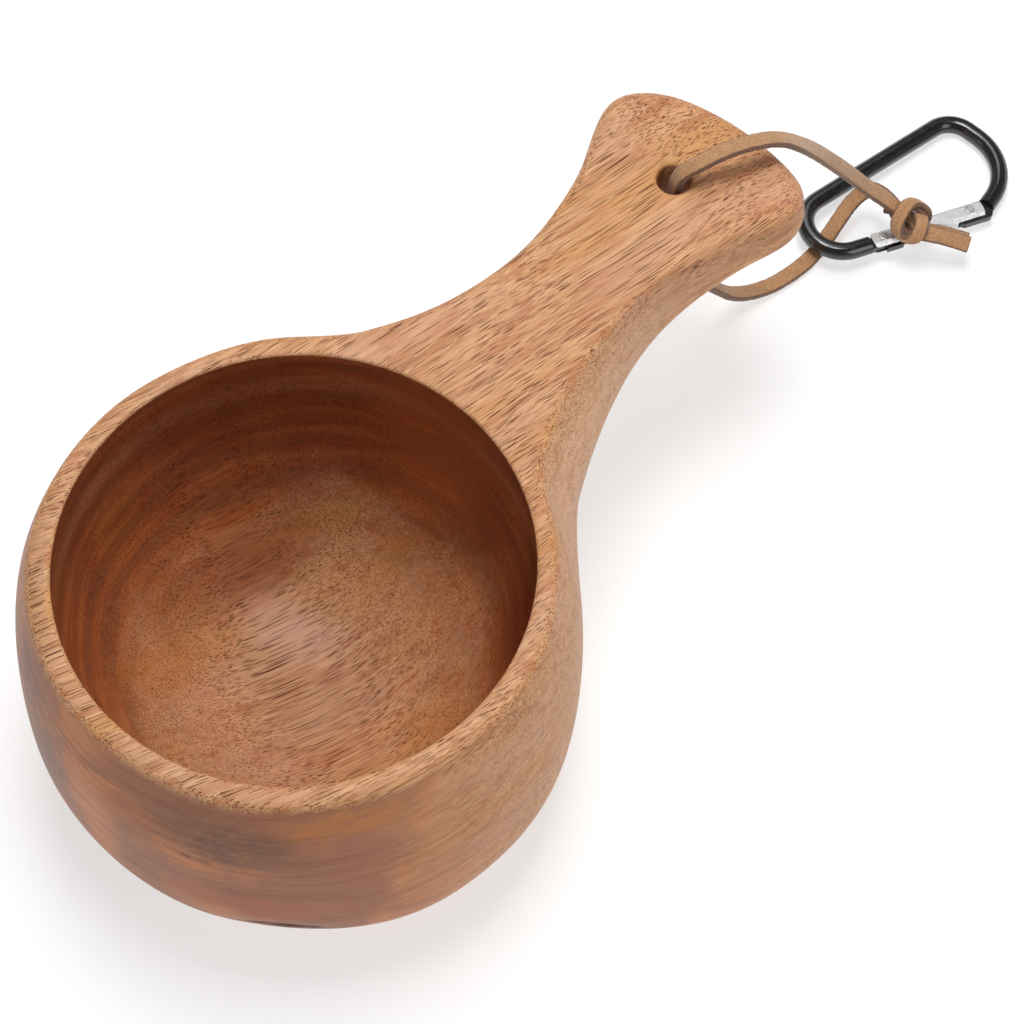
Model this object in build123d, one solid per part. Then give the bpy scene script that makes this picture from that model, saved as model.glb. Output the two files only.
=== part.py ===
from build123d import *
import math
import os

os.makedirs("parts", exist_ok=True)

# A wooden drinking cup with a flat handle, a leather lace through the handle's
# hole, and a small aluminium carabiner that the lace holds.
# Millimetres, +Z up.  The origin is the middle of the cup's foot, on the axis of
# the bowl, and +X points along the handle.

# ---- cup: bowl -------------------------------------------------------------
rim_height = 58.0
rim_radius = 46.0
belly_radius = 51.2
belly_height = 27.0
foot_radius = 36.0
mouth_radius = 42.0
cavity_floor = 8.0
rim_outer_round = 2.5
rim_inner_round = 0.9
root_round = 9.0

# ---- cup: handle -----------------------------------------------------------
handle_start = 33.0
handle_root_half_width = 30.0
neck_half_width = 13.0
neck_station = 80.0
end_half_width = 20.6
end_station = 111.0
handle_length = 123.0
handle_lean = -1.2
neck_underside = 39.6
end_underside = 45.2
underside_round = 7.0

# ---- cup: lace hole --------------------------------------------------------
hole_x = 105.0
hole_y = -0.5
hole_diameter = 6.6
hole_chamfer = 0.9

# ---- lace: a flat 3.2 x 1.5 suede lace, held here as a round tube ----------
lace_diameter = 2.2
lace_mid_hole = 51.5

# Control points of the upper strand, from the middle of the hole to the knot.
upper_route = [
    (hole_x, hole_y, lace_mid_hole),
    (hole_x, hole_y, 60.6),
    (111.4, -5.8, 63.6),
    (119.4, -9.8, 64.0),
    (126.8, -12.8, 60.0),
    (133.2, -13.0, 49.6),
    (139.2, -12.8, 38.4),
    (145.2, -13.4, 28.0),
    (150.4, -15.0, 19.4),
    (154.0, -18.2, 13.2),
    (155.6, -22.4, 10.2),
]

# Control points of the lower strand, from the middle of the hole to the knot.
lower_route = [
    (hole_x, hole_y, lace_mid_hole),
    (hole_x, hole_y, 38.0),
    (107.6, -4.2, 26.0),
    (114.8, -4.8, 14.0),
    (120.8, -6.2, 4.6),
    (128.4, -9.2, 1.2),
    (135.8, -11.2, 1.2),
    (142.4, -11.6, 1.2),
    (148.4, -11.0, 3.2),
    (152.8, -10.6, 6.8),
    (155.9, -11.8, 8.9),
    (156.6, -15.2, 8.7),
    (156.0, -19.6, 8.5),
]

# ---- lace: knot and tails --------------------------------------------------
knot_centre = (155.5, -24.0, 9.2)
knot_length = 8.8
knot_width = 7.6
knot_height = 5.6
knot_turn = 70.0
tail_routes = [
    [(157.3, -27.1, 10.2), (159.4, -30.6, 8.6), (161.6, -34.6, 6.2)],
    [(155.9, -27.6, 8.0), (157.8, -31.2, 6.0), (160.2, -35.4, 3.2)],
]

# ---- carabiner: its own plane, X along the spine, gate on the -Y side -------
carabiner_origin = (160.5, -6.4)
carabiner_heading = -13.3
rod_diameter = 3.6
hinge_bend_centre = (-9.9, -8.0)
hinge_bend_radius = 7.1
hinge_shank = 3.3
top_bend_centre = (21.9, -6.2)
top_bend_radius = 5.6
nose_bend_centre = (15.85, -9.7)
nose_bend_radius = 12.2
nose_shank = 2.6
nose_heading = -160.0
lace_gap = 2.7
spine_end = 29.5

gate_heading = -14.9
gate_length = 25.0
gate_width = 3.6
gate_height = 3.4
gate_edge = 0.8
gate_corner = 1.2
gate_bore = 2.1
slot_thickness = 1.8
slot_floor = 1.3

# Along the gate, from the hinge pin: positive towards the nose.
shoulder_face = -3.0
gate_root = -2.6
through_slot_end = 0.8
hinge_slot_end = 4.6
latch_slot_start = 16.4
latch_station = 19.4
nose_face = 22.7

tongue_thickness = 1.4
tongue_radius = 4.4
tongue_outside = 2.5
tongue_inside = 1.1
hook_start = 16.8
notch_width = 1.5
notch_depth = 0.8

pin_diameter = 1.1
pin_hole_diameter = 1.22
pin_head_diameter = 2.0
pin_head_height = 0.3
spring_wire = 0.35
spring_diameter = 1.8
spring_start = 8.2
spring_end = 15.4
spring_pitch = 0.8
plunger_diameter = 1.9
plunger_start = 4.7
spring_clearance = 0.1


# ---- cup -------------------------------------------------------------------
def bowl_blank():
    """The bowl's full outside, turned about Z."""
    with BuildPart() as blank:
        with BuildSketch(Plane.XZ):
            with BuildLine():
                Spline(
                    (foot_radius, 0),
                    (belly_radius - 2.9, 0.38 * belly_height),
                    (belly_radius, belly_height),
                    (belly_radius - 1.2, 0.75 * rim_height),
                    (rim_radius, rim_height),
                    tangents=[(1.0, 0.55), (-0.36, 1.0)],
                )
                Line((rim_radius, rim_height), (0, rim_height))
                Line((0, rim_height), (0, 0))
                Line((0, 0), (foot_radius, 0))
            make_face()
        revolve(axis=Axis.Z)
    return blank.part


def handle_plan():
    """The handle seen from above: flared root, narrow neck, wide skewed end."""
    lean = handle_lean
    root = handle_root_half_width
    with BuildSketch() as plan:
        with BuildLine():
            Spline(
                (handle_start, root),
                (48, 21.0),
                (62, 14.9),
                (neck_station, neck_half_width),
                (96, 15.6),
                (end_station, end_half_width),
                (118.0, 15.8),
                (handle_length - 0.6, 0),
                (handle_length + 0.4, -10.0),
                (119.8, -19.4),
                (end_station, lean - end_half_width),
                (96, lean - 16.4),
                (neck_station + 2, lean - neck_half_width - 0.6),
                (64, lean - 16.8),
                (50, lean - 22.4),
                (handle_start, lean - root),
            )
            Line((handle_start, lean - root), (handle_start, root))
        make_face()
    return plan.sketch


def handle_side():
    """The handle seen from the side: flat top, underside rising to the end."""
    tip = handle_length + 5.0
    with BuildSketch(Plane.XZ) as side:
        with BuildLine():
            Line((handle_start, rim_height), (tip, rim_height))
            Line((tip, rim_height), (tip, end_underside))
            Spline(
                (tip, end_underside),
                (112, end_underside - 0.2),
                (96, end_underside - 2.2),
                (neck_station, neck_underside),
                (62, neck_underside - 2.0),
                (50, 33.0),
                (handle_start, 14.0),
            )
            Line((handle_start, 14.0), (handle_start, rim_height))
        make_face()
    return side.sketch


def handle_blank():
    """Plan and side outlines crossed, with the lower edges well rounded."""
    upright = extrude(handle_plan(), amount=rim_height)
    across = extrude(handle_side(), amount=2 * end_half_width, both=True)
    blank = upright & across
    lower_edges = [
        edge
        for edge in blank.edges()
        if edge.bounding_box().max.X > end_station
        and edge.bounding_box().max.Z < rim_height - 5
    ]
    return blank.fillet(underside_round, lower_edges)


def cavity():
    """The hollow of the bowl, turned about Z, open at the rim."""
    with BuildPart() as hollow:
        with BuildSketch(Plane.XZ):
            with BuildLine():
                Spline(
                    (0, cavity_floor),
                    (0.45 * mouth_radius, cavity_floor + 2.2),
                    (0.83 * mouth_radius, 0.38 * rim_height),
                    (mouth_radius + 0.9, 0.78 * rim_height),
                    (mouth_radius, rim_height),
                    tangents=[(1.0, 0.0), (-0.12, 1.0)],
                )
                Line((mouth_radius, rim_height), (0, rim_height))
                Line((0, rim_height), (0, cavity_floor))
            make_face()
        revolve(axis=Axis.Z)
    return hollow.part


def wooden_cup():
    cup = (bowl_blank() + handle_blank()).clean()
    root_edges = [
        edge
        for edge in cup.edges()
        if edge.bounding_box().min.X > handle_start + 0.5
        and edge.bounding_box().max.X < belly_radius + 0.8
    ]
    cup = cup.fillet(root_round, root_edges)
    top_edges = [edge for edge in cup.edges() if edge.bounding_box().min.Z > rim_height - 0.1]
    cup = cup.fillet(rim_outer_round, top_edges)

    cup = cup - cavity()
    mouth = [
        edge
        for edge in cup.edges()
        if edge.bounding_box().min.Z > rim_height - 0.1
        and abs(edge.bounding_box().max.X - mouth_radius) < 0.1
    ]
    cup = cup.fillet(rim_inner_round, mouth)

    hole = Pos(hole_x, hole_y, 50) * Cylinder(hole_diameter / 2, 40)
    upper_chamfer = Pos(hole_x, hole_y, rim_height - hole_chamfer / 2) * Cone(
        hole_diameter / 2, hole_diameter / 2 + hole_chamfer, hole_chamfer
    )
    return cup - hole - upper_chamfer


# ---- lace ------------------------------------------------------------------
def bend_radii(route):
    """Each corner's arc: 0.45 of the shorter run, over the tangent of half the turn."""
    radii = []
    for before, corner, after in zip(route, route[1:], route[2:]):
        arriving = Vector(*corner) - Vector(*before)
        leaving = Vector(*after) - Vector(*corner)
        half_turn = math.radians(arriving.get_angle(leaving)) / 2
        shorter = min(arriving.length, leaving.length)
        radii.append(0.45 * shorter / math.tan(half_turn))
    return radii


def lace_tube(name, route):
    """A round tube along straight runs joined by tangent arcs."""
    radii = bend_radii(route)
    path = FilletPolyline(*route, radius=radii)
    start = Plane(path @ 0, z_dir=path % 0)
    tube = sweep(start * Circle(lace_diameter / 2), path=path)
    expected = math.pi * lace_diameter**2 / 4 * path.length
    print(name, "length", round(path.length, 1), "volume ratio", round(tube.volume / expected, 4))
    print("  radii", [round(radius, 1) for radius in radii])
    return tube


def lace_knot():
    """The outer shape of the overhand knot, as one rounded block."""
    block = Box(knot_length, knot_width, knot_height)
    block = fillet(block.edges(), 0.42 * knot_height)
    return Pos(*knot_centre) * Rot(0, 0, -knot_turn) * block


# ---- carabiner -------------------------------------------------------------
def carabiner_plane():
    """Lies on its nose bend, the hinge bend raised by the lace under it."""
    heading = math.radians(carabiner_heading)
    hinge_end = hinge_bend_centre[0] - hinge_bend_radius
    tilt = math.atan(lace_gap / (spine_end - hinge_end))
    along = (math.cos(heading), math.sin(heading))
    height = rod_diameter / 2 + spine_end * math.tan(tilt)
    return Plane(
        origin=(*carabiner_origin, height),
        x_dir=(along[0] * math.cos(tilt), along[1] * math.cos(tilt), -math.sin(tilt)),
        z_dir=(along[0] * math.sin(tilt), along[1] * math.sin(tilt), math.cos(tilt)),
    )


def unit(degrees):
    return Vector(math.cos(math.radians(degrees)), math.sin(math.radians(degrees)), 0)


def tangent_heading(start_centre, start_radius, end_centre, end_radius):
    """Heading of the line that leaves one clockwise bend and joins the next."""
    between = Vector(*end_centre) - Vector(*start_centre)
    lean = math.asin((end_radius - start_radius) / between.length)
    return math.degrees(math.atan2(between.Y, between.X) + lean)


def rod_path():
    """The rod's middle line: hinge shank, hinge bend, spine, two bends, nose shank."""
    spine_heading = tangent_heading(
        hinge_bend_centre, hinge_bend_radius, top_bend_centre, top_bend_radius
    )
    side_heading = tangent_heading(
        top_bend_centre, top_bend_radius, nose_bend_centre, nose_bend_radius
    )
    bends = [
        (hinge_bend_centre, hinge_bend_radius, gate_heading + 180, spine_heading),
        (top_bend_centre, top_bend_radius, spine_heading, side_heading),
        (nose_bend_centre, nose_bend_radius, side_heading, nose_heading),
    ]
    arcs = [
        [
            Vector(*centre) + unit(heading + 90) * radius
            for heading in (arriving, (arriving + leaving) / 2, leaving)
        ]
        for centre, radius, arriving, leaving in bends
    ]
    start = arcs[0][0] - unit(gate_heading + 180) * hinge_shank
    end = arcs[-1][-1] + unit(nose_heading) * nose_shank
    edges = []
    for arc in arcs:
        edges.append(Edge.make_line(start, arc[0]))
        edges.append(Edge.make_three_point_arc(*arc))
        start = arc[-1]
    edges.append(Edge.make_line(start, end))
    return Wire(edges)


def gate_frame():
    """Origin on the hinge pin, X along the gate to the nose, Y to the inside."""
    bend_end = Vector(*hinge_bend_centre) + unit(gate_heading + 270) * hinge_bend_radius
    pin = bend_end + unit(gate_heading) * (hinge_shank - shoulder_face)
    return Plane(origin=pin, x_dir=unit(gate_heading), z_dir=(0, 0, 1))


def block(x_low, x_high, y_low, y_high, height):
    """A box between two stations, centred on the carabiner's middle plane."""
    middle = Pos((x_low + x_high) / 2, (y_low + y_high) / 2, 0)
    return middle * Box(x_high - x_low, y_high - y_low, height)


def rod_section():
    """A round rod with eight shallow flats."""
    return fillet(RegularPolygon(rod_diameter / 2, 8, major_radius=False).vertices(), 1.4)


def hinge_tongue():
    """The flat lug that the gate turns on, rounded about the pin."""
    lug = Cylinder(tongue_radius, tongue_thickness) & block(
        0, tongue_radius, -tongue_outside, tongue_inside, tongue_thickness
    )
    lug += block(shoulder_face - 2.5, 0, -tongue_inside - 0.4, tongue_inside, tongue_thickness)
    return lug - Cylinder(pin_hole_diameter / 2, rod_diameter)


def nose_hook():
    """The flat hook that catches the latch pin, its notch open to the inside."""
    hook = block(hook_start, nose_face + 1.5, -tongue_outside, tongue_inside, tongue_thickness)
    outer_corners = hook.edges().filter_by(Axis.Z).sort_by(Axis.Y)[:2]
    hook = fillet(outer_corners, 1.1)
    notch = block(
        latch_station - notch_width / 2,
        latch_station + notch_width / 2,
        -notch_depth,
        tongue_inside + 1,
        rod_diameter,
    )
    return hook - notch


def carabiner_body():
    path = rod_path()
    start = Plane(origin=path @ 0, x_dir=(0, 0, 1), z_dir=path % 0)
    rod = sweep(start * (Rot(0, 0, 22.5) * rod_section()), path=path)
    gate_space = gate_frame() * block(
        shoulder_face, nose_face, -rod_diameter, rod_diameter, 2 * rod_diameter
    )
    rod = rod - gate_space
    return rod + gate_frame() * hinge_tongue() + gate_frame() * nose_hook()


def carabiner_gate():
    """A bevelled bar with a slot at each end on its outer side, bored for the spring."""
    tip = gate_root + gate_length
    half = gate_width / 2
    bar = block(gate_root, tip, -half, half, gate_height)
    bar = chamfer(bar.edges().filter_by(Axis.X), gate_edge)
    root_corners = (
        bar.edges().filter_by(Axis.Z).filter_by(lambda edge: edge.center().X < gate_root + 0.1)
    )
    bar = fillet(root_corners, gate_corner)
    bar -= block(gate_root - 1, through_slot_end, -gate_width, gate_width, slot_thickness)
    bar -= block(0, hinge_slot_end, -gate_width, slot_floor, slot_thickness)
    bar -= block(latch_slot_start, tip + 1, -gate_width, slot_floor, slot_thickness)
    bore_length = spring_end + spring_clearance
    bar -= Pos(bore_length / 2, 0, 0) * Rot(0, 90, 0) * Cylinder(gate_bore / 2, bore_length)
    for station in (0, latch_station):
        bar -= Pos(station, 0, 0) * Cylinder(pin_diameter / 2, 2 * gate_height)
    return gate_frame() * bar


def gate_pin(station):
    """A rivet across the gate, its two low heads outside."""
    shank = Cylinder(pin_diameter / 2, gate_height + pin_head_height)
    head = Cylinder(pin_head_diameter / 2, pin_head_height)
    head = fillet(head.faces().sort_by(Axis.Z)[-1].edges(), 0.2)
    top = Pos(0, 0, (gate_height + pin_head_height) / 2) * head
    bottom = Rot(180, 0, 0) * top
    return gate_frame() * Pos(station, 0, 0) * (shank + top + bottom)


def gate_spring():
    coil_radius = (spring_diameter - spring_wire) / 2
    coil = Helix(spring_pitch, spring_end - spring_start - spring_wire, coil_radius)
    section = Plane(origin=coil @ 0, z_dir=coil % 0) * Circle(spring_wire / 2)
    spring = sweep(section, path=coil, is_frenet=True)
    return gate_frame() * Pos(spring_start + spring_wire / 2, 0, 0) * Rot(0, 90, 0) * spring


def spring_plunger():
    """The short pin that the spring presses against the lug."""
    length = spring_start - spring_clearance - plunger_start
    plunger = Cylinder(plunger_diameter / 2, length)
    plunger = fillet(plunger.faces().sort_by(Axis.Z)[0].edges(), 0.5)
    return gate_frame() * Pos(plunger_start + length / 2, 0, 0) * Rot(0, 90, 0) * plunger


def main():
    place = carabiner_plane()
    nodes = {
        "wooden_cup": wooden_cup(),
        "lace_upper_strand": lace_tube("lace_upper_strand", upper_route),
        "lace_lower_strand": lace_tube("lace_lower_strand", lower_route),
        "lace_knot": lace_knot(),
        "lace_tails": Compound([lace_tube("lace_tail", route) for route in tail_routes]),
        "carabiner_body": place * carabiner_body(),
        "carabiner_gate": place * carabiner_gate(),
        "gate_hinge_pin": place * gate_pin(0),
        "gate_latch_pin": place * gate_pin(latch_station),
        "gate_spring": place * gate_spring(),
        "spring_plunger": place * spring_plunger(),
    }
    for name, shape in nodes.items():
        export_step(shape, f"parts/{name}.step")
    hinge = place.from_local_coords(gate_frame().origin)
    print("gate hinge", hinge, "axis", place.z_dir, "slide", place.x_dir)


main()
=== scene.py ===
import math

import bpy
import numpy as np
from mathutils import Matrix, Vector


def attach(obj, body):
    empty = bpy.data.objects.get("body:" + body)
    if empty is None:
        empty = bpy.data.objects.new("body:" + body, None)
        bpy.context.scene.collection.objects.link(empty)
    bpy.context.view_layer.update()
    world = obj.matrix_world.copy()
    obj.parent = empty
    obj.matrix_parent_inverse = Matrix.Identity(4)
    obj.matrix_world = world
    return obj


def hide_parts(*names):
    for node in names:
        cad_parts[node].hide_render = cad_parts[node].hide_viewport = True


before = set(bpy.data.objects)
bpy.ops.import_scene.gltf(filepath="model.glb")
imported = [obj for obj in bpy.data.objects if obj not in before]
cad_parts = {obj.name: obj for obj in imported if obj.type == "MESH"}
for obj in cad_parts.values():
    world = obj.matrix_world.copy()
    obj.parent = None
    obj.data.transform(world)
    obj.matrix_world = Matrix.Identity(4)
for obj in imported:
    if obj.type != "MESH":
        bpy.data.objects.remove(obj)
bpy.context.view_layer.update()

# Lengths are in millimetres and are made metres by MM when a mesh is made.
MM = 0.001


# ---- camera, floor and light -------------------------------------------------
camera_azimuth = -50.1
camera_elevation = 61.3
camera_distance = 545.5
camera_target = (31.74, -22.6, 58.0)
lamp_target = (30.0, 0.0, 30.0)
floor_half_side = 40.0  # metres: the floor fills every view


def direction(azimuth, elevation):
    """Unit vector towards a place seen at that compass angle and height."""
    turn = math.radians(azimuth)
    rise = math.radians(elevation)
    return np.array(
        [math.sin(turn) * math.cos(rise), -math.cos(turn) * math.cos(rise), math.sin(rise)]
    )


def aim(thing, place, target):
    """Puts a camera or lamp at a place, looking at the target, both in mm."""
    thing.location = Vector(place) * MM
    thing.rotation_euler = (Vector(target) - Vector(place)).to_track_quat("-Z", "Y").to_euler()


def make_camera():
    camera = bpy.data.objects.new("camera", bpy.data.cameras.new("camera"))
    bpy.context.scene.collection.objects.link(camera)
    camera.data.lens = 110.0
    camera.data.sensor_width = 36.0
    camera.data.clip_start = 0.01
    towards = direction(camera_azimuth, camera_elevation)
    aim(camera, np.array(camera_target) + camera_distance * towards, camera_target)
    bpy.context.scene.camera = camera


def make_lamp(name, azimuth, elevation, distance, size, power, colour=(1, 1, 1)):
    """A square soft box aimed at the cup."""
    data = bpy.data.lights.new(name, "AREA")
    data.shape = "SQUARE"
    data.size = size * MM
    data.energy = power
    data.color = colour
    lamp = bpy.data.objects.new(name, data)
    bpy.context.scene.collection.objects.link(lamp)
    aim(lamp, np.array(lamp_target) + distance * direction(azimuth, elevation), lamp_target)


def make_floor():
    side = floor_half_side
    mesh = bpy.data.meshes.new("floor")
    corners = [(-side, -side, 0), (side, -side, 0), (side, side, 0), (-side, side, 0)]
    mesh.from_pydata(corners, [], [(0, 1, 2, 3)])
    floor = bpy.data.objects.new("floor", mesh)
    bpy.context.scene.collection.objects.link(floor)
    paint = bpy.data.materials.new("floor_white")
    paint.use_nodes = True
    surface = paint.node_tree.nodes["Principled BSDF"]
    surface.inputs["Base Color"].default_value = (0.42, 0.42, 0.42, 1)
    surface.inputs["Roughness"].default_value = 0.9
    surface.inputs["Emission Color"].default_value = (1, 1, 1, 1)
    surface.inputs["Emission Strength"].default_value = 0.62
    mesh.materials.append(paint)


def make_studio():
    """A white sky that fades upwards, four soft boxes and the floor."""
    world = bpy.data.worlds.new("studio")
    bpy.context.scene.world = world
    world.use_nodes = True
    nodes = world.node_tree.nodes
    links = world.node_tree.links
    nodes["Background"].inputs["Color"].default_value = (1, 1, 1, 1)
    height = nodes.new("ShaderNodeSeparateXYZ")
    links.new(nodes.new("ShaderNodeTexCoord").outputs["Generated"], height.inputs[0])
    fade = nodes.new("ShaderNodeMapRange")
    links.new(height.outputs["Z"], fade.inputs["Value"])
    fade.inputs["From Min"].default_value = 0.1
    fade.inputs["From Max"].default_value = 0.75
    fade.inputs["To Min"].default_value = 0.36
    fade.inputs["To Max"].default_value = 0.1
    links.new(fade.outputs["Result"], nodes["Background"].inputs["Strength"])
    make_lamp("key", 120, 80, 900, 340, 5.6)
    make_lamp("back", 130, 56, 800, 420, 1.5)
    make_lamp("left", -125, 28, 600, 300, 0.25, (0.80, 0.90, 1.0))
    make_lamp("right", 5, 30, 600, 300, 0.7)
    bpy.context.scene.view_settings.view_transform = "Standard"
    make_floor()


# ---- mesh helpers --------------------------------------------------------------
def smooth_curve(points, first=None, last=None, steps=10):
    """Points along the C2 cubic through the given ones, with optional end headings."""
    p = np.array(points, float)
    h = np.linalg.norm(np.diff(p, axis=0), axis=1)
    count = len(p)
    matrix = np.zeros((count, count))
    right = np.zeros_like(p)
    slope = np.diff(p, axis=0) / h[:, None]
    for i in range(1, count - 1):
        matrix[i, i - 1 : i + 2] = h[i], 2 * (h[i - 1] + h[i]), h[i - 1]
        right[i] = 3 * (h[i] * slope[i - 1] + h[i - 1] * slope[i])
    matrix[0, 0] = matrix[-1, -1] = 1
    right[0] = slope[0] + h[0] * (slope[0] - slope[1]) / (h[0] + h[1])
    right[-1] = slope[-1] + h[-1] * (slope[-1] - slope[-2]) / (h[-1] + h[-2])
    if first is not None:
        right[0] = np.array(first) / np.linalg.norm(first)
    if last is not None:
        right[-1] = np.array(last) / np.linalg.norm(last)
    m = np.linalg.solve(matrix, right)
    t = np.linspace(0, 1, steps, endpoint=False)[:, None]
    spans = [
        (2 * t**3 - 3 * t**2 + 1) * p[i]
        + (t**3 - 2 * t**2 + t) * h[i] * m[i]
        + (3 * t**2 - 2 * t**3) * p[i + 1]
        + (t**3 - t**2) * h[i] * m[i + 1]
        for i in range(count - 1)
    ]
    return np.vstack(spans + [p[-1:]])


class Outline:
    """Signed distance to a closed outline, negative inside, read from a fine table."""

    def __init__(self, points, low, high, step=0.4):
        points = np.array(points, float)
        self.low = np.array(low, float)
        self.step = step
        self.shape = np.ceil((np.array(high) - low) / step).astype(int) + 1
        u = low[0] + step * np.arange(self.shape[0])
        v = low[1] + step * np.arange(self.shape[1])
        u, v = (a.ravel() for a in np.meshgrid(u, v, indexing="ij"))
        nearest = np.full(len(u), np.inf)
        inside = np.zeros(len(u), bool)
        for (au, av), (bu, bv) in zip(points, np.roll(points, -1, axis=0)):
            du, dv = bu - au, bv - av
            along = ((u - au) * du + (v - av) * dv) / max(du * du + dv * dv, 1e-12)
            along = along.clip(0, 1)
            nearest = np.minimum(nearest, np.hypot(u - au - along * du, v - av - along * dv))
            if dv != 0:
                inside ^= ((av > v) != (bv > v)) & (u < au + du * (v - av) / dv)
        self.table = np.where(inside, -nearest, nearest).reshape(self.shape)

    def __call__(self, u, v):
        s = ((u - self.low[0]) / self.step).clip(0, self.shape[0] - 1.001)
        t = ((v - self.low[1]) / self.step).clip(0, self.shape[1] - 1.001)
        i = s.astype(int)
        j = t.astype(int)
        s = s - i
        t = t - j
        table = self.table
        near = table[i, j] * (1 - t) + table[i, j + 1] * t
        far = table[i + 1, j] * (1 - t) + table[i + 1, j + 1] * t
        return near * (1 - s) + far * s


def smoothstep(low, high, value):
    t = ((value - low) / (high - low)).clip(0, 1)
    return t * t * (3 - 2 * t)


def round_both(a, b, radius):
    """What is inside both shapes, the edge between them rounded."""
    outer = np.hypot(np.maximum(a + radius, 0), np.maximum(b + radius, 0))
    return np.minimum(np.maximum(a + radius, b + radius), 0) + outer - radius


def round_either(a, b, radius):
    """What is inside either shape, the corner between them filled to a radius."""
    inner = np.hypot(np.maximum(radius - a, 0), np.maximum(radius - b, 0))
    return np.maximum(np.minimum(a, b), radius) - inner


def surface_nets(field, low, high, step):
    """Vertices and quads of the surface where the field is zero."""
    axes = [np.arange(a, b + step, step) for a, b in zip(low, high)]
    grid = np.stack(np.meshgrid(*axes, indexing="ij"), axis=-1)
    values = field(grid.reshape(-1, 3)).reshape(grid.shape[:3])
    inside = values < 0
    cells = np.array(values.shape)
    quads = []
    crossings = []
    for a in range(3):
        b, c = (a + 1) % 3, (a + 2) % 3
        lower = [slice(None)] * 3
        upper = [slice(None)] * 3
        lower[a] = slice(None, -1)
        upper[a] = slice(1, None)
        found = np.argwhere(inside[tuple(lower)] != inside[tuple(upper)])
        start = tuple(found.T)
        stop = list(start)
        stop[a] = stop[a] + 1
        share = values[start] / (values[start] - values[tuple(stop)])
        points = grid[start].copy()
        points[:, a] += share * step
        around = []
        for db, dc in ((-1, -1), (0, -1), (0, 0), (-1, 0)):
            cell = found.copy()
            cell[:, b] += db
            cell[:, c] += dc
            around.append((cell * [cells[1] * cells[2], cells[2], 1]).sum(axis=1))
        around = np.stack(around, axis=1)
        outward = inside[start]
        quads.append(np.where(outward[:, None], around, around[:, ::-1]))
        crossings.append(points)
    quads = np.vstack(quads)
    crossings = np.vstack(crossings)
    names, quads = np.unique(quads, return_inverse=True)
    quads = quads.reshape(-1, 4)
    total = np.zeros((len(names), 3))
    count = np.bincount(quads.ravel(), minlength=len(names))
    for d in range(3):
        weights = np.repeat(crossings[:, d], 4)
        total[:, d] = np.bincount(quads.ravel(), weights=weights, minlength=len(names))
    return total / count[:, None], quads


def gradient(field, points, reach=0.15):
    slopes = []
    for d in range(3):
        offset = np.zeros(3)
        offset[d] = reach
        slopes.append((field(points + offset) - field(points - offset)) / (2 * reach))
    return np.stack(slopes, axis=1)


bend_pull = 4
sharpest_turn = 0.8


def relax(field, points, quads, rounds):
    """Evens out the vertices along the surface, with more where it bends, and puts them on it."""
    ends = np.vstack([np.stack([quads[:, i], quads[:, (i + 1) % 4]], axis=1) for i in range(4)])
    ends = np.vstack([ends, ends[:, ::-1]])
    count = len(points)
    for _ in range(rounds):
        slope = gradient(field, points)
        length = np.linalg.norm(slope, axis=1, keepdims=True)
        normal = slope / length
        turn = np.linalg.norm(normal[ends[:, 0]] - normal[ends[:, 1]], axis=1)
        pull = 1 + bend_pull * np.minimum(turn, sharpest_turn)
        weight = np.bincount(ends[:, 0], weights=pull, minlength=count)
        middle = np.stack(
            [
                np.bincount(ends[:, 0], weights=pull * points[ends[:, 1], d], minlength=count)
                for d in range(3)
            ],
            axis=1,
        )
        move = middle / weight[:, None] - points
        move -= (move * normal).sum(axis=1, keepdims=True) * normal
        points = points + 0.5 * move - field(points)[:, None] * normal / length
    for _ in range(2):
        slope = gradient(field, points)
        points = points - field(points)[:, None] * slope / (slope**2).sum(axis=1, keepdims=True)
    return points


def make_piece(name, points, faces, body, material):
    """A smooth-shaded mesh piece, its points in mm."""
    mesh = bpy.data.meshes.new(name)
    mesh.from_pydata((np.array(points) * MM).tolist(), [], [list(map(int, f)) for f in faces])
    mesh.validate()
    mesh.shade_smooth()
    piece = bpy.data.objects.new(name, mesh)
    bpy.context.scene.collection.objects.link(piece)
    mesh.materials.append(material)
    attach(piece, body)
    return piece


# ---- the cup's shape ------------------------------------------------------------
rim_height = 58.0
hole_place = (105.0, -0.5)
hole_radius = 3.3
cup_cell = 0.86
cup_rounds = 8

bowl_side = smooth_curve(
    [(36, 0), (48.3, 10.3), (51.2, 27), (50, 43.5), (46, rim_height)],
    first=(1, 0.55),
    last=(-0.36, 1),
)
cavity_side = smooth_curve(
    [(0, 8), (18.9, 10.2), (34.9, 22), (42.9, 45.2), (42, rim_height)],
    first=(1, 0),
    last=(-0.12, 1),
)
handle_plan = smooth_curve(
    [
        (33, 30.6),
        (44, 23.2),
        (53, 18.0),
        (65, 14.1),
        (77, 12.3),
        (88, 13.2),
        (98, 15.7),
        (107, 19.5),
        (113.4, 20.3),
        (118.8, 16.4),
        (123.0, 6),
        (124.5, -4.5),
        (123.3, -14),
        (120.2, -20.6),
        (114.4, -23.2),
        (105, -20.6),
        (96, -17.6),
        (82, -14.8),
        (64, -18),
        (50, -23.6),
        (33, -31.2),
    ]
)
handle_underside = smooth_curve(
    [(33, 14), (50, 33), (62, 37.6), (80, 39.6), (96, 43), (112, 45), (128, 45.2)]
)

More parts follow.
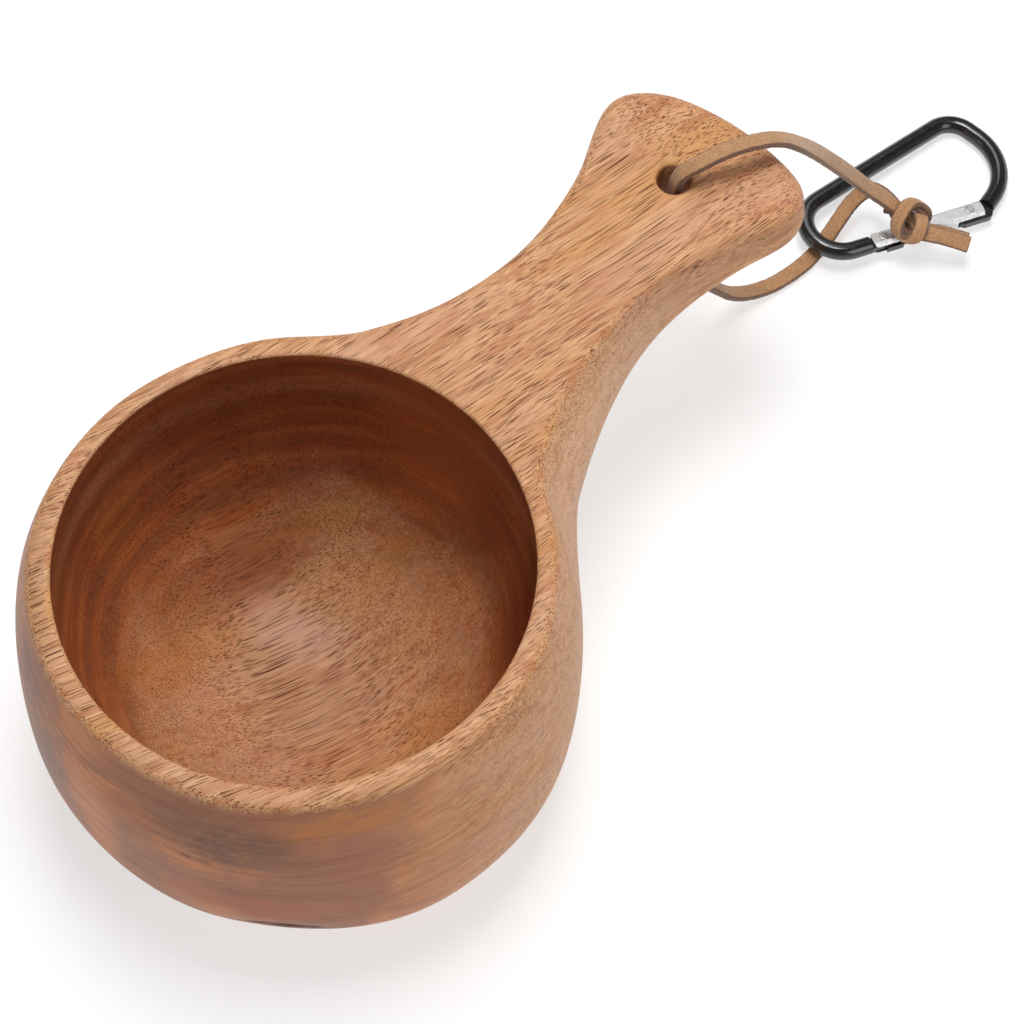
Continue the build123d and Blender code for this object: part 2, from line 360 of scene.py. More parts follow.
far = 90.0
above_rim = rim_height + 10
bowl_field = Outline(
    [(-far, -8), (21.5, -8), *bowl_side, (42.4, above_rim), (-far, above_rim)],
    (0, -4),
    (72, 66),
)
cavity_field = Outline(
    [(-far, 8), *cavity_side, (40.8, above_rim), (-far, above_rim)],
    (0, 0),
    (72, 66),
)
plan_field = Outline([(14, 30.6), *handle_plan, (14, -31.2)], (0, -60), (140, 60))
side_field = Outline(
    [(14, 14), *handle_underside, (145, 45.2), (145, 80), (14, 80)], (0, 0), (140, 66)
)


def flank_slope(x):
    """How much narrower the handle's top is than its middle, at each side."""
    stations = [40, 56, 64, 71, 78, 85, 92, 99, 107, 120]
    return np.interp(x, stations, [6.5, 6.5, 5.0, 4.0, 3.2, 2.8, 2.4, 2.0, 1.6, 1.6])


def top_round(x):
    """Radius of the top's outer edge: crisp round the bowl, softer at the handle's end."""
    return 1.1 + 1.4 * smoothstep(80, 112, x)


def top_height(x):
    """The flat top, which rolls down a little towards the handle's end."""
    return rim_height - 1.3 * smoothstep(104, 128, x)


def carving(x, y, z):
    """The slow unevenness of a surface shaped and sanded by hand."""
    return (
        0.16 * np.sin(0.105 * x + 0.062 * y + 0.09 * z + 0.6)
        + 0.12 * np.sin(-0.071 * x + 0.128 * y + 0.06 * z + 2.1)
        + 0.07 * np.sin(0.19 * x - 0.14 * y + 0.17 * z)
    )


def dent(x, y, z, centre, radii, depth):
    """A shallow soft hollow of that depth round a centre."""
    reach = sum(((a - c) / r) ** 2 for a, c, r in zip((x, y, z), centre, radii))
    return depth * np.exp(-reach)


def flaws(x, y, z):
    """Flats by the far rim and on the flanks, a full cheek, and a bark pocket low in front."""
    flat = dent(x, y, z, (13, 43, 52), (16, 12, 22), 0.8)
    waist = dent(x, y, z, (-50, -6, 24), (12, 20, 14), 0.5)
    flank = dent(x, y, z, (30, -40, 34), (17, 15, 26), 1.1)
    cheek = dent(x, y, z, (-24, -44, 16), (16, 16, 14), -0.4)
    pocket = dent(x, y, z, (-41, -28.5, 15), (9, 9, 4), 1.0)
    crack = dent(x, y, z, (-39.5, -30.5, 14.5), (5, 5, 1.2), 0.7)
    return flat + waist + flank + cheek + pocket + crack


def cup_field(points):
    """Signed distance, nearly, to the whole cup: bowl and handle joined, less cavity and hole."""
    x, y, z = points.T
    sag = smoothstep(42, 14, z)
    bowl = bowl_field(np.hypot(x + 0.4 * sag, y + 1.0 * sag), z)
    lean = flank_slope(x) * ((z - 45) / 13).clip(0, 1.2) ** 1.25
    lean = lean - 0.7 * flank_slope(x) * smoothstep(-10, 10, y)
    handle = round_both(plan_field(x, y) + lean, side_field(x, z), 6.0)
    under = 8.0 * np.exp(-((y / 17) ** 2)) * (1 - smoothstep(34, 48, z))
    body = round_either(bowl, handle, 4.5 - 2.0 * smoothstep(34, 46, z) + under)
    body = body + carving(x, y, z) + flaws(x, y, z)
    body = round_both(body, z - top_height(x), top_round(x))
    body = round_both(body, -z, 1.4)
    cavity = cavity_field(np.hypot(x, y), z)
    body = round_both(body, -cavity, 0.6)
    hole = np.hypot(x - hole_place[0], y - hole_place[1]) - hole_radius
    return round_both(body, -hole, 0.7)


def make_cup(material):
    cell, rounds = ((cup_cell, cup_rounds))
    points, quads = surface_nets(cup_field, (-55, -55, -2), (128, 55, 61), cell)
    points = relax(cup_field, points, quads, rounds)
    cup = make_piece("carved_cup", points, quads, "cup", material)
    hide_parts("wooden_cup")


# ---- the lace ------------------------------------------------------------------
lace_width = 3.2
lace_thickness = 1.5
strand_spacing = 0.45
knot_spacing = 0.35
wear_share = 0.02

upper_route = [
    (105, -0.5, 51.5),
    (104.6, -0.9, 59.4),
    (107.5, -3.9, 63.0),
    (113.0, -6.4, 63.9),
    (118.4, -9.2, 63.4),
    (123.2, -11.3, 60.8),
    (128.2, -12.3, 54.6),
    (134.5, -12.4, 45.4),
    (141.0, -12.6, 35.0),
    (147.0, -13.4, 25.2),
    (151.6, -15.4, 17.0),
    (154.6, -18.6, 12.2),
    (155.3, -22.6, 10.3),
]
lower_route = [
    (105, -0.5, 51.5),
    (105, -0.5, 38.0),
    (107.6, -4.2, 26.0),
    (114.8, -4.8, 14.0),
    (120.8, -6.2, 4.6),
    (128.4, -9.2, 1.2),
    (135.8, -11.2, 1.2),
    (142.4, -11.6, 1.2),
    (148.4, -11.2, 3.2),
    (153.6, -11.2, 6.3),
    (156.8, -12.7, 8.6),
    (157.6, -15.8, 8.9),
    (156.6, -19.6, 8.6),
]


def spline_line(route):
    """Points along the smooth NURBS spline with these control points, in mm."""
    curve = bpy.data.curves.new("route", "CURVE")
    curve.dimensions = "3D"
    curve.resolution_u = 14
    spline = curve.splines.new("NURBS")
    spline.points.add(len(route) - 1)
    for point, place in zip(spline.points, route):
        point.co = (*place, 1)
    spline.order_u = 3
    spline.use_endpoint_u = True
    holder = bpy.data.objects.new("route", curve)
    mesh = bpy.data.meshes.new_from_object(holder)
    line = np.array([vertex.co for vertex in mesh.vertices])
    bpy.data.objects.remove(holder)
    bpy.data.curves.remove(curve)
    bpy.data.meshes.remove(mesh)
    return line


def evenly(line, spacing):
    """The same line with points a set distance apart."""
    length = np.concatenate([[0], np.cumsum(np.linalg.norm(np.diff(line, axis=0), axis=1))])
    stations = np.linspace(0, length[-1], max(int(round(length[-1] / spacing)), 2) + 1)
    return np.stack([np.interp(stations, length, line[:, d]) for d in range(3)], axis=1)


def headings(line):
    slope = np.gradient(line, axis=0)
    return slope / np.linalg.norm(slope, axis=1, keepdims=True)


def carried_normals(line, first, twist):
    """Flat-side directions carried along a line without turning, then twisted by degrees."""
    along = headings(line)
    normal = np.array(first, float)
    normals = []
    for heading in along:
        normal = normal - normal.dot(heading) * heading
        normal = normal / np.linalg.norm(normal)
        normals.append(normal)
    normals = np.array(normals)
    side = np.cross(along, normals)
    shares = np.linspace(0, 1, len(line))
    turn = np.radians(np.interp(shares, np.linspace(0, 1, len(twist)), twist))[:, None]
    return normals * np.cos(turn) + side * np.sin(turn)


def strap_section(width, thickness, corner=0.45):
    """Outline of a flat strap with rounded corners, and which of its edges are cut sides."""
    ring = []
    half = (width / 2 - corner, thickness / 2 - corner)
    for turn, (su, sv) in zip((0, 90, 180, 270), ((1, 1), (-1, 1), (-1, -1), (1, -1))):
        for step in (0, 30, 60, 90):
            angle = math.radians(turn + step)
            ring.append(
                (su * half[0] + corner * math.cos(angle), sv * half[1] + corner * math.sin(angle))
            )
        if turn in (0, 180):
            flat = np.linspace(half[0], -half[0], 6)[1:-1] * su
            ring.extend((u, sv * thickness / 2) for u in flat)
    ring = np.array(ring)
    middles = (ring + np.roll(ring, -1, axis=0)) / 2
    cut_sides = np.abs(middles[:, 0]) > half[0] + 0.25 * corner
    return ring, cut_sides


def make_strap(line, normals, width, thickness, seed):
    """Points, faces and cut-side marks of a closed strap along a line."""
    ring, cut_sides = strap_section(width, thickness)
    along = headings(line)
    side = np.cross(along, normals)
    side /= np.linalg.norm(side, axis=1, keepdims=True)
    flat = np.cross(side, along)
    chance = np.random.default_rng(seed)
    count = len(ring)
    points = []
    for place, across, out in zip(line, side, flat):
        wear = 1 + wear_share * chance.standard_normal((count, 1)).clip(-2, 2)
        uv = ring * wear
        points.append(place + uv[:, :1] * across + uv[:, 1:] * out)
    points = np.vstack(points)
    faces = []
    marks = []
    for row in range(len(line) - 1):
        for k in range(count):
            a = row * count + k
            b = row * count + (k + 1) % count
            faces.append((a, b, b + count, a + count))
            marks.append(bool(cut_sides[k]))
    last = (len(line) - 1) * count
    faces.append(tuple(range(count))[::-1])
    faces.append(tuple(range(last, last + count)))
    marks += [True, True]
    return points, faces, marks


def join_straps(straps):
    """Several straps' points, faces and marks as one mesh's."""
    points, faces, marks = [], [], []
    start = 0
    for some_points, some_faces, some_marks in straps:
        points.append(some_points)
        faces += [tuple(i + start for i in face) for face in some_faces]
        marks += some_marks
        start += len(some_points)
    return np.vstack(points), faces, marks


def lace_piece(name, straps, suede, cut_suede):
    points, faces, marks = join_straps(straps)
    piece = make_piece(name, points, faces, "cup", suede)
    piece.data.materials.append(cut_suede)
    for polygon, mark in zip(piece.data.polygons, marks):
        polygon.material_index = int(mark)
    return piece


# The knot's points are along its own axis, from the strands to the tails, then up across it,
# and then towards the camera.
knot_scale = 0.88
ply_offset = 0.6
ply_thickness = 1.2
tail_width = 3.3
tail_thickness = 1.4
tail_offset = 0.75
knot_place = np.array([155.5, -24.0, 9.2])
knot_route = [
    (-5.0, 0.0, 0.0),
    (-2.0, 0.1, -0.6),
    (1.0, 0.4, -1.0),
    (2.9, 1.5, -0.9),
    (2.2, 3.4, -0.1),
    (0.3, 3.9, 0.8),
    (-1.8, 3.0, 1.6),
    (-2.8, 0.5, 2.3),
    (-2.2, -2.2, 1.6),
    (-0.3, -3.7, 0.3),
    (1.6, -3.7, 0.3),
    (3.2, -2.4, 1.5),
    (3.1, -0.2, 2.1),
    (1.9, 1.3, 1.2),
    (0.9, 0.9, -0.4),
    (1.2, -0.6, -1.0),
    (2.6, -1.0, -0.7),
    (4.6, -0.8, -0.2),
]
tail_route = [
    (3.0, -0.9, -0.3),
    (6.2, 0.4, -0.3),
    (9.2, 1.3, -0.9),
    (12.6, 2.2, -1.8),
]
knot_lean = -30.4


def view_axes():
    """Right, up and towards the camera, for a knot that lies across its view."""
    away = direction(camera_azimuth, camera_elevation)
    turn = math.radians(camera_azimuth)
    right = np.array([math.cos(turn), math.sin(turn), 0])
    return right, np.cross(away, right), away


def knot_axes():
    """Along the knot, up across it and towards the camera."""
    right, up, away = view_axes()
    turn = math.radians(knot_lean)
    along = math.cos(turn) * right + math.sin(turn) * up
    return along, np.cross(away, along), away


def from_knot(points):
    return knot_place + np.array(points, float) @ np.array(knot_axes())


def make_knot(suede, cut_suede):
    """The overhand knot of both strands: two plies that wrap round its axis."""
    route = from_knot(knot_scale * np.array(knot_route))
    middle = evenly(spline_line(route), knot_spacing)
    axis = knot_axes()[0]
    out = middle - knot_place
    out -= (out @ axis)[:, None] * axis
    along = headings(middle)
    out -= (out * along).sum(axis=1, keepdims=True) * along
    out /= np.linalg.norm(out, axis=1, keepdims=True)
    side = np.cross(along, out)
    straps = [
        make_strap(middle + ply_offset * out, out, 2.8, ply_thickness, 11),
        make_strap(middle - ply_offset * out + 0.3 * side, out, 2.7, ply_thickness, 12),
    ]
    return lace_piece("lace_overhand_knot", straps, suede, cut_suede)


def make_tails(suede, cut_suede):
    """The two cut ends, one on the other."""
    line = evenly(spline_line(from_knot(tail_route)), strand_spacing)
    facing = direction(camera_azimuth, camera_elevation) + [0, 0, 0.3]
    normals = carried_normals(line, facing, [0, 10])
    side = np.cross(headings(line), normals)
    straps = [
        make_strap(
            line + tail_offset * normals + 0.3 * side, normals, tail_width, tail_thickness, 21
        ),
        make_strap(
            line - tail_offset * normals - 0.5 * side, normals, tail_width, tail_thickness, 22
        ),
    ]
    return lace_piece("lace_cut_tails", straps, suede, cut_suede)


def make_strand(name, node, route, first, twist, seed, suede, cut_suede):
    """One strand of the lace, a strap along its route."""
    line = evenly(spline_line(route), strand_spacing)
    normals = carried_normals(line, first, twist)
    strap = make_strap(line, normals, lace_width, lace_thickness, seed)
    strand = lace_piece(name, [strap], suede, cut_suede)
    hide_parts(node)


def make_lace(suede, cut_suede):
    knot = make_knot(suede, cut_suede)
    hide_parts("lace_knot")
    tails = make_tails(suede, cut_suede)
    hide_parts("lace_tails")
    make_strand(
        "lace_over_handle",
        "lace_upper_strand",
        upper_route,
        (-1, 0.5, 0),
        [0, -14, -10, 18, 32, 34, 24],
        31,
        suede,
        cut_suede,
    )
    make_strand(
        "lace_under_handle",
        "lace_lower_strand",
        lower_route,
        (-1, 0.5, 0),
        [0, 0, 0, 0, 0],
        32,
        suede,
        cut_suede,
    )


# ---- materials ---------------------------------------------------------------
class Paint:
    """A node material under construction; its values are numbers, colours or sockets."""

    def __init__(self, name):
        self.material = bpy.data.materials.new(name)
        self.material.use_nodes = True
        self.tree = self.material.node_tree
        self.surface = self.tree.nodes["Principled BSDF"]

    def put(self, socket, value):
        if isinstance(value, bpy.types.NodeSocket):
            self.tree.links.new(value, socket)
        elif isinstance(value, (tuple, list)) and socket.type == "RGBA":
            socket.default_value = (*value, 1)
        else:
            socket.default_value = value

    def node(self, kind, inputs, **settings):
        node = self.tree.nodes.new("ShaderNode" + kind)
        for key, value in settings.items():
            setattr(node, key, value)
        for key, value in inputs.items():
            self.put(node.inputs[key], value)
        return node

    def math(self, operation, a, b=0.0):
        return self.node("Math", {0: a, 1: b}, operation=operation).outputs[0]

    def scaled(self, vector, factors):
        inputs = {0: vector, 1: factors}
        return self.node("VectorMath", inputs, operation="MULTIPLY").outputs[0]

    def noise(self, vector, factors=(1, 1, 1), detail=2.0, roughness=0.5, distortion=0.0):
        inputs = {
            "Vector": self.scaled(vector, factors),
            "Scale": 1.0,
            "Detail": detail,
            "Roughness": roughness,
            "Distortion": distortion,
        }
        return self.node("TexNoise", inputs).outputs["Fac"]

    def ramp(self, value, low, high, start=0.0, stop=1.0):
        """Goes smoothly from start to stop as the value goes from low to high."""
        inputs = {"Value": value, 1: low, 2: high, 3: start, 4: stop}
        return self.node("MapRange", inputs, interpolation_type="SMOOTHSTEP").outputs[0]

    def mix(self, factor, a, b):
        node = self.tree.nodes.new("ShaderNodeMix")
        node.data_type = "RGBA"
        self.put(node.inputs["Factor"], factor)
        self.put(node.inputs[6], a)
        self.put(node.inputs[7], b)
        return node.outputs[2]

    def place(self):
        """Position on the object, in millimetres."""
        spot = self.node("TexCoord", {}).outputs["Object"]
        return self.node("VectorMath", {0: spot, "Scale": 1000.0}, operation="SCALE").outputs[0]

    def spot(self, place, centre, radii, turn, soft):
        """1 in an ellipsoid round a centre, its first radius at that turn from +X, else 0."""
        offset = self.node("VectorMath", {0: place, 1: centre}, operation="SUBTRACT").outputs[0]
        inputs = {"Vector": offset, "Angle": math.radians(-turn)}
        offset = self.node("VectorRotate", inputs, rotation_type="Z_AXIS").outputs[0]
        unit = self.node("VectorMath", {0: offset, 1: radii}, operation="DIVIDE").outputs[0]
        reach = self.node("VectorMath", {0: unit}, operation="LENGTH").outputs["Value"]
        return self.ramp(reach, soft, 1.1, 1, 0)

    def bump(self, height, distance, strength=1.0):
        inputs = {"Height": height, "Distance": distance * MM, "Strength": strength}
        return self.node("Bump", inputs).outputs["Normal"]

    def finish(self, **inputs):
        for key, value in inputs.items():
            self.put(self.surface.inputs[key.replace("_", " ")], value)
        return self.material


def suede_leather(name, colour, deep):
    """Napped suede: fine mottling and fuzz."""
    paint = Paint(name)
    place = paint.place()
    nap = paint.noise(place, (3.2, 3.2, 3.2), detail=4.0, roughness=0.7)
    patch = paint.noise(place, (0.5, 0.5, 0.5), detail=2.0)
    base = paint.mix(paint.ramp(nap, 0.3, 0.7), deep, colour)
    base = paint.mix(paint.ramp(patch, 0.4, 0.7, 0, 0.35), base, deep)
    return paint.finish(
        Base_Color=base, Roughness=0.95, Sheen_Weight=0.25, Normal=paint.bump(nap, 0.25, 0.7)
    )


def black_anodised():
    """Glossy black anodising over a drawn rod, with faint scuffs."""
    paint = Paint("black_anodised")
    place = paint.place()
    scuff = paint.noise(place, (0.9, 0.9, 0.9), detail=4.0, roughness=0.65)
    dust = paint.noise(place, (5, 5, 5), detail=2.0)
    base = paint.mix(paint.ramp(scuff, 0.45, 0.75), (0.008, 0.008, 0.009), (0.013, 0.013, 0.014))
    return paint.finish(
        Base_Color=base,
        Roughness=paint.ramp(scuff, 0.35, 0.7, 0.2, 0.27),
        Specular_IOR_Level=0.6,
        Coat_Weight=0.35,
        Coat_Roughness=0.12,
        Normal=paint.bump(dust, 0.01, 0.15),
    )


def bare_metal(name, colour, dark, roughness):
    """Tumbled metal: small dents, faint stains and a broken gloss."""
    paint = Paint(name)
    place = paint.place()
    tumbled = paint.noise(place, (1.6, 1.6, 1.6), detail=3.0, roughness=0.5)
    stain = paint.noise(place, (0.6, 0.6, 0.6), detail=3.0)
    base = paint.mix(paint.ramp(stain, 0.4, 0.75, 0, 0.6), colour, dark)
    return paint.finish(
        Base_Color=base,
        Metallic=1.0,
        Roughness=paint.ramp(tumbled, 0.3, 0.7, roughness - 0.07, roughness + 0.08),
        Normal=paint.bump(tumbled, 0.008, 0.25),
    )


def paint_carabiner():
    bright = bare_metal("bare_aluminium", (0.66, 0.65, 0.65), (0.54, 0.53, 0.53), 0.42)
    plated = bare_metal("plated_steel", (0.62, 0.61, 0.60), (0.48, 0.47, 0.46), 0.3)
    sprung = bare_metal("spring_steel", (0.36, 0.35, 0.35), (0.24, 0.23, 0.23), 0.36)
    finishes = {
        "carabiner_body": black_anodised(),
        "carabiner_gate": bright,
        "spring_plunger": bright,
        "gate_hinge_pin": plated,
        "gate_latch_pin": plated,
        "gate_spring": sprung,
    }
    for node, material in finishes.items():
        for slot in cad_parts[node].material_slots:
            slot.material = material


def wood_lines(paint, place):
    """Place along and across the grain, which runs with the handle and wanders a little."""
    x = paint.node("SeparateXYZ", {0: place}).outputs[0]
    turn = paint.ramp(x, -40, 60, math.radians(24), math.radians(14))
    turned = paint.node(
        "VectorRotate", {"Vector": place, "Angle": turn}, rotation_type="Z_AXIS"
    ).outputs[0]
    grain = paint.node(
        "VectorRotate", {"Vector": turned, "Angle": math.radians(2.5)}, rotation_type="Y_AXIS"
    ).outputs[0]
    waves = paint.node(
        "TexNoise",
        {"Vector": paint.scaled(grain, (0.016, 0.03, 0.03)), "Scale": 1.0, "Detail": 1.0},
    ).outputs["Color"]
    inputs = {0: waves, 1: (0, 6.0, 6.0), 2: grain}
    return paint.node("VectorMath", inputs, operation="MULTIPLY_ADD").outputs[0]


def wood_pores(paint, grain, factors, full, gone):
    """Open pores: short dark dashes along the grain, dots on end grain, each its own darkness."""
    inputs = {"Vector": paint.scaled(grain, factors), "Scale": 1.0}
    cells = paint.node("TexVoronoi", inputs)
    shade = paint.node("SeparateColor", {0: cells.outputs["Color"]}).outputs[0]
    dash = paint.ramp(cells.outputs["Distance"], full, gone, 1, 0)
    return paint.math("MULTIPLY", dash, paint.ramp(shade, 0.0, 0.7, 0.45, 1.0))


def drifting_level(paint, place):
    """A slow noise, and the millimetres by which it lifts the heartwood's limits."""
    drift = paint.noise(place, (0.045, 0.045, 0.045), detail=3.0, distortion=0.6)
    lift = paint.math("MULTIPLY", paint.math("SUBTRACT", drift, 0.5), 26.0)
    return drift, lift


def axis_distance(paint, x, y):
    """Distance from the bowl's axis."""
    around = paint.node("CombineXYZ", {0: x, 1: y}).outputs[0]
    return paint.node("VectorMath", {0: around}, operation="LENGTH").outputs["Value"]


def pale_wood(paint, grain, fibre):
    """Fibre, warm streaks, reddish mottles and yellower or pinker areas."""
    streak = paint.noise(grain, (0.03, 0.75, 0.75), detail=3.0, roughness=0.6)
    mottle = paint.noise(grain, (0.13, 0.30, 0.30), detail=3.0, roughness=0.6)
    area = paint.noise(grain, (0.02, 0.085, 0.085), detail=2.0)
    base = paint.mix(paint.ramp(fibre, 0.36, 0.64), (0.69, 0.385, 0.20), (0.50, 0.24, 0.108))
    base = paint.mix(paint.ramp(streak, 0.45, 0.66, 0, 0.7), base, (0.43, 0.17, 0.072))
    base = paint.mix(paint.ramp(area, 0.35, 0.5, 0.4, 0), base, (0.60, 0.33, 0.21))
    base = paint.mix(paint.ramp(area, 0.52, 0.66, 0, 0.5), base, (0.58, 0.28, 0.085))
    return paint.mix(paint.ramp(mottle, 0.53, 0.72, 0, 0.5), base, (0.46, 0.16, 0.07))


def inner_wall(paint, z, radius, lift):
    """Where the dark red goes, which is partly painted shade: 1 on the bowl's inner wall, 0.3 on
    its floor, 0 on its rim and outside.
    """
    wall = paint.math(
        "MULTIPLY",
        paint.ramp(paint.math("ADD", z, lift), 12, 27, 0.3, 1),
        paint.ramp(z, 57.2, 57.8, 1, 0),
    )
    return paint.math("MULTIPLY", wall, paint.ramp(radius, 42.7, 43.3, 1, 0))


def inner_heartwood_and_shade(paint, grain, fibre, drift):
    """The dark red of the inner wall with its growth rings: partly heartwood, partly painted shade.
    """
    inner = paint.mix(paint.ramp(fibre, 0.3, 0.7), (0.34, 0.066, 0.014), (0.21, 0.029, 0.006))
    inner = paint.mix(paint.ramp(drift, 0.45, 0.62, 0, 0.5), inner, (0.40, 0.105, 0.022))
    rings = paint.noise(grain, (0.008, 0.05, 0.34), detail=2.0, distortion=0.4)
    inner = paint.mix(paint.ramp(rings, 0.47, 0.58, 0, 0.6), inner, (0.15, 0.034, 0.012))
    return paint.mix(paint.ramp(rings, 0.34, 0.44, 0.5, 0), inner, (0.42, 0.13, 0.035))


def outer_bark(paint, grain, drift):
    """The redder, layered wood of the bowl's outside away from the handle."""
    bark = paint.mix(paint.ramp(drift, 0.38, 0.6), (0.63, 0.232, 0.092), (0.37, 0.148, 0.085))
    layers = paint.noise(grain, (0.02, 0.06, 0.75), detail=3.0, distortion=0.5)
    return paint.mix(paint.ramp(layers, 0.48, 0.66, 0, 0.5), bark, (0.24, 0.085, 0.045))


# Marks on the wood, with painted shade, light and sheen among them as noted: centre, radii and turn
# in mm and degrees, softness, colour, strength.
painted_wall_shade_and_light = [
    # Painted shade: the darkest part of the right inner wall.
    ((27, -33, 36), (22, 16, 26), -50, 0.3, (0.12, 0.013, 0.002), 0.8),
    # Painted light: a lighter patch on the far-right inner wall.
    ((40, 4, 40), (20, 18, 22), 0, 0.3, (0.56, 0.16, 0.045), 0.6),
    # Painted shade: the far inner wall under the rim.
    ((22, 37, 46), (26, 14, 20), -34, 0.3, (0.15, 0.028, 0.008), 0.45),
]
floor_marks_and_sheen = [
    ((10, 24, 13), (26, 9, 9), -16, 0.2, (0.24, 0.055, 0.02), 0.6),
    ((-16, 20, 17), (12, 9, 9), -30, 0.2, (0.50, 0.17, 0.045), 0.5),
    # Painted sheen: the overhead lamp's soft pinkish-white reflection on the bowl's floor.
    ((6, 10, 9), (8, 13, 6), 20, 0.2, (0.66, 0.38, 0.28), 0.45),
    ((4, -2, 8.5), (4, 3, 4), 0, 0.2, (0.34, 0.10, 0.05), 0.45),
    ((26.5, 26, 28), (2.6, 1.0, 1.4), -40, 0.3, (0.72, 0.46, 0.30), 0.6),
]
outer_marks_and_sheen = [
    ((-43, -22, 47), (17, 15, 8), -58, 0.30, (0.20, 0.10, 0.07), 0.75),
    ((-44, -25, 27), (22, 12, 7), -55, 0.30, (0.46, 0.14, 0.07), 0.7),
    ((-29, -37, 52.5), (16, 9, 4.0), -38, 0.30, (0.56, 0.21, 0.065), 0.85),
    ((-48, -3, 45), (8, 13, 6), -80, 0.30, (0.55, 0.18, 0.07), 0.6),
    ((-40, -30, 31), (16, 8, 2.2), -50, 0.40, (0.24, 0.10, 0.06), 0.5),
    ((-47.3, -16.5, 40.3), (6.5, 5, 1.2), -70, 0.2, (0.09, 0.055, 0.05), 0.7),
    # Dark grey cloud on the left flank: partly darker heartwood, partly a painted grey sheen.
    ((-42, 30, 36), (30, 18, 27), 48, 0.30, (0.17, 0.10, 0.085), 0.75),
    ((-31, 33, 58), (17, 6, 5), 44, 0.30, (0.44, 0.23, 0.13), 0.6),
    ((-39.5, -30.5, 14.5), (11, 8, 1.6), -53, 0.45, (0.035, 0.024, 0.02), 0.95),
    ((-36.5, -34, 12.8), (3.2, 5, 0.9), -50, 0.50, (0.45, 0.30, 0.20), 0.8),
    ((107, 19.5, 54), (2.6, 3, 1.6), 40, 0.50, (0.02, 0.014, 0.012), 0.95),
    # Painted sheen: a pale pinkish patch on the handle's near flank.
    ((62, -21, 47), (36, 12, 15), 10, 0.30, (0.70, 0.45, 0.30), 0.65),
]
mark_stray = (9, 9, 5)  # the whole range, in mm, of the noise that shifts the outer marks


def add_marks(paint, base, place, marks, mask=None, shift=(0, 0, 0)):
    """The base with each mark mixed over it, within the mask."""
    for centre, radii, turn, soft, colour, strength in marks:
        centre = tuple(np.add(centre, shift).tolist())
        spot = paint.spot(place, centre, radii, turn, soft)
        if mask is not None:
            spot = paint.math("MULTIPLY", spot, mask)
        base = paint.mix(paint.math("MULTIPLY", spot, strength), base, colour)
    return base


def add_outer_marks(paint, base, place, grain, outside):
    """The outside's clouds, mineral streak, bark pocket and painted sheen, their outlines torn
    along the grain.
    """
    shift = paint.node("TexNoise", {"Vector": place, "Scale": 0.12, "Detail": 3.0}).outputs["Color"]
    inputs = {0: shift, 1: mark_stray, 2: place}
    strayed = paint.node("VectorMath", inputs, operation="MULTIPLY_ADD").outputs[0]
    torn = paint.noise(grain, (0.05, 0.5, 0.9), detail=3.0, roughness=0.65)
    ragged = paint.math("MULTIPLY", outside, paint.ramp(torn, 0.36, 0.6, 0.35, 1))
    mean_shift = [stray / 2 for stray in mark_stray]
    return add_marks(paint, base, strayed, outer_marks_and_sheen, ragged, mean_shift)


def all_pores(paint, grain, z, outside, outer):
    """Fine and strong pores, fewer in patches, fainter on the flanks and the outer bark."""
    fine = wood_pores(paint, grain, (0.08, 3.5, 3.5), 0.24, 0.34)
    strong = wood_pores(paint, grain, (0.05, 2.5, 2.5), 0.18, 0.27)
    cover = paint.ramp(paint.noise(grain, (0.04, 0.28, 0.28), detail=2.0), 0.32, 0.58, 0.65, 1.0)
    pores = paint.math("MULTIPLY", paint.math("MAXIMUM", fine, strong), cover)
    flank = paint.math("MULTIPLY", outside, paint.ramp(z, 50, 56.5, 1, 0))
    pores = paint.math("MULTIPLY", pores, paint.ramp(flank, 0, 1, 1, 0.5))
    return paint.math("MULTIPLY", pores, paint.ramp(outer, 0.2, 0.9, 1, 0.3))


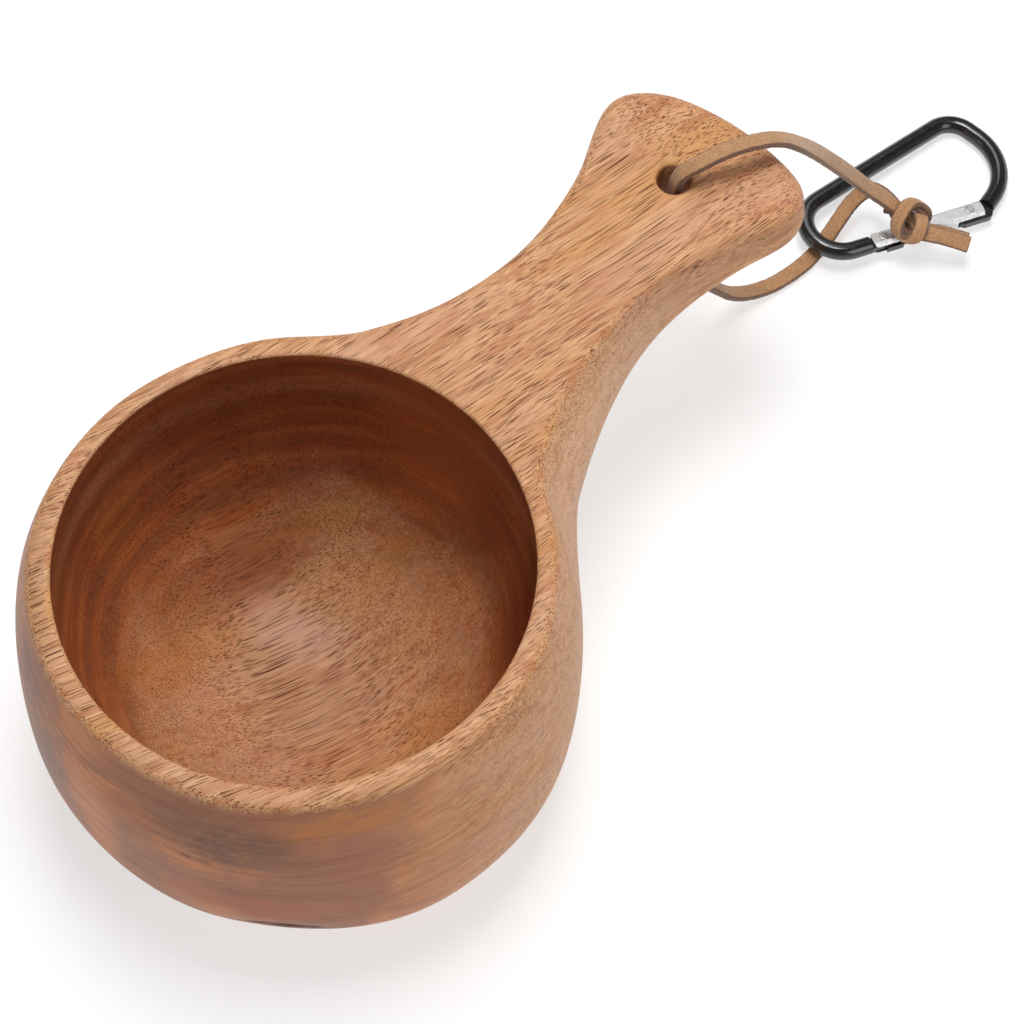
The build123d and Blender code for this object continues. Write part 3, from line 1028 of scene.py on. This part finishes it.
def oiled_wood():
    """Open-pored wood: pale handle and rim, a dark red inner wall that is partly painted shade, a
    layered outside, and marks with painted shade, light and sheen among them.
    """
    paint = Paint("oiled_wood")
    place = paint.place()
    grain = wood_lines(paint, place)
    x, y, z = paint.node("SeparateXYZ", {0: place}).outputs
    radius = axis_distance(paint, x, y)
    drift, lift = drifting_level(paint, place)
    fibre = paint.noise(grain, (0.05, 4.2, 4.2), detail=2.0, roughness=0.6)
    base = pale_wood(paint, grain, fibre)

    wall = inner_wall(paint, z, radius, lift)
    inner = inner_heartwood_and_shade(paint, grain, fibre, drift)
    # The inner wall's deep red, stronger up the wall: partly heartwood, partly painted shade.
    base = paint.mix(paint.math("MULTIPLY", wall, 0.85), base, inner)
    # Painted shade on the right and far inner walls, and painted light on the far-right wall.
    base = add_marks(paint, base, place, painted_wall_shade_and_light, wall)
    # Marks on the bowl's floor and lower walls, with a painted sheen among them.
    base = add_marks(paint, base, place, floor_marks_and_sheen)

    toward = paint.node("VectorMath", {0: place, 1: (-0.94, 0.33, 0)}, operation="DOT_PRODUCT")
    side = paint.math("ADD", toward.outputs["Value"], lift)
    outer = paint.math(
        "MULTIPLY", paint.ramp(side, -26, 22, 0, 1), paint.ramp(z, 55.6, 57.3, 1, 0)
    )
    outer = paint.math("MULTIPLY", outer, paint.ramp(radius, 44.0, 44.6, 0, 1))
    bark = outer_bark(paint, grain, drift)
    base = paint.mix(paint.math("MULTIPLY", outer, 0.88), base, bark)

    outside = paint.ramp(radius, 43.0, 43.4, 0, 1)
    # The outside's marks, with painted sheen on the left flank and on the handle's near flank.
    base = add_outer_marks(paint, base, place, grain, outside)

    pores = all_pores(paint, grain, z, outside, outer)
    base = paint.mix(paint.math("MULTIPLY", pores, 0.95), base, (0.09, 0.022, 0.009))
    height = paint.math("SUBTRACT", paint.math("MULTIPLY", fibre, 0.35), pores)
    return paint.finish(
        Base_Color=base,
        Roughness=paint.ramp(pores, 0, 1, 0.44, 0.7),
        Specular_IOR_Level=0.16,
        Normal=paint.bump(height, 0.05, 0.55),
    )


# ---- everything ---------------------------------------------------------------
make_camera()
make_studio()
make_lace(
    suede_leather("suede", (0.60, 0.34, 0.17), (0.33, 0.165, 0.075)),
    suede_leather("suede_cut_edge", (0.26, 0.14, 0.08), (0.14, 0.07, 0.042)),
)
make_cup(oiled_wood())
paint_carabiner()
